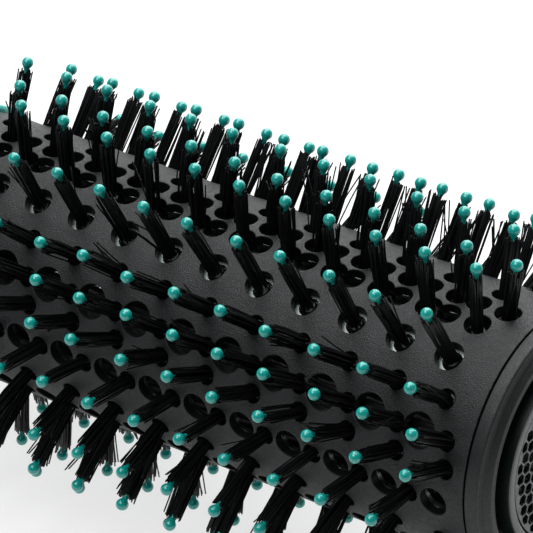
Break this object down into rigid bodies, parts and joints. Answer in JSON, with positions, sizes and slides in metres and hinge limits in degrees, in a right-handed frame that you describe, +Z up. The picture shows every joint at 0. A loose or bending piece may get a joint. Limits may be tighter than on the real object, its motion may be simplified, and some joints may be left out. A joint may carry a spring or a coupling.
{
  "type": "hot air brush",
  "caption": "Hot air styling brush: perforated round barrel with rows of nylon tufts and ball-tipped pins, mesh tip, collar ring, motor handle with slider, button and cord swivel.",
  "frame": {"origin": "centre of the bounding box's base: the brush lies on the rearmost pins of its lowest rows and on the heel of its handle", "axes": "+X along the brush from handle to tip, which the rest pose tilts up by under 3 degrees; +Z up, with the switches on top"},
  "size_m": [0.3668, 0.069, 0.0745],
  "materials": {
    "shell": "fine-grained matte black moulding",
    "gloss_trim": "smooth black moulding",
    "bristle_nylon": "black nylon filaments with satin sides",
    "teal": "glossy teal plastic",
    "aluminium": "plain drawn aluminium",
    "mesh_steel": "darkened fine steel mesh",
    "steel": "plain steel",
    "mica": "mica board",
    "heating_wire": "resistance wire",
    "white_nylon": "natural nylon",
    "board": "coated circuit board"
  },
  "bodies": {
    "brush_body": {"barrel_shell_upper": "shell", "barrel_shell_lower": "shell", "tip_cap": "shell", "barrel_socket": "shell", "handle_shell_top": "shell", "handle_shell_bottom": "shell", "inlet_grille": "shell", "bristle_carrier_tube": "aluminium", "tip_mesh_rim": "gloss_trim", "mode_switch_body": "gloss_trim", "tip_mesh": "mesh_steel", "inlet_filter": "mesh_steel", "cool_tact_switch": "mesh_steel", "collar_ring": "teal", "heater_mica_frame": "mica", "heater_mica_sleeve": "mica", "heater_coil": "heating_wire", "thermal_cutout": "steel", "fan_motor": "steel", "handle_screw_front": "steel", "handle_screw_rear": "steel", "motor_mount_vanes": "white_nylon", "control_board": "board", "bristle_row_upper_01": "bristle_nylon", "bristle_row_upper_02": "bristle_nylon", "bristle_row_upper_03": "bristle_nylon", "bristle_row_upper_04": "bristle_nylon", "bristle_row_upper_05": "bristle_nylon", "bristle_row_upper_06": "bristle_nylon", "bristle_row_upper_07": "bristle_nylon", "bristle_row_upper_08": "bristle_nylon", "bristle_row_upper_09": "bristle_nylon", "bristle_row_upper_10": "bristle_nylon", "bristle_row_upper_11": "bristle_nylon", "bristle_row_lower_01": "bristle_nylon", "bristle_row_lower_02": "bristle_nylon", "bristle_row_lower_03": "bristle_nylon", "bristle_row_lower_04": "bristle_nylon", "bristle_row_lower_05": "bristle_nylon", "bristle_row_lower_06": "bristle_nylon", "bristle_row_lower_07": "bristle_nylon", "bristle_row_lower_08": "bristle_nylon", "bristle_row_lower_09": "bristle_nylon", "bristle_row_lower_10": "bristle_nylon", "bristle_row_lower_11": "bristle_nylon"},
    "slider": {"mode_slider": "teal"},
    "button": {"cool_button": "gloss_trim"},
    "fan": {"fan_impeller": "white_nylon", "motor_shaft": "steel"},
    "swivel": {"cord_swivel": "gloss_trim"}
  },
  "joints": [
    {"name": "slider_travel", "type": "slide", "parent": "brush_body", "child": "slider", "axis": [0.9988, 0, 0.0497], "range_m": [0, 0.008]},
    {"name": "button_press", "type": "slide", "parent": "brush_body", "child": "button", "axis": [0.0497, 0, -0.9988], "range_m": [0, 0.001], "stiffness_N_per_m": 200, "springref_m": -0.0005},
    {"name": "fan_spin", "type": "hinge", "parent": "brush_body", "child": "fan", "pos_m": [-0.11723, 0.00005, 0.02556], "axis": [0.9988, 0, 0.0497], "continuous": true},
    {"name": "swivel_turn", "type": "hinge", "parent": "brush_body", "child": "swivel", "pos_m": [-0.18315, 0.00005, 0.02228], "axis": [0.9988, 0, 0.0497], "continuous": true}
  ]
}
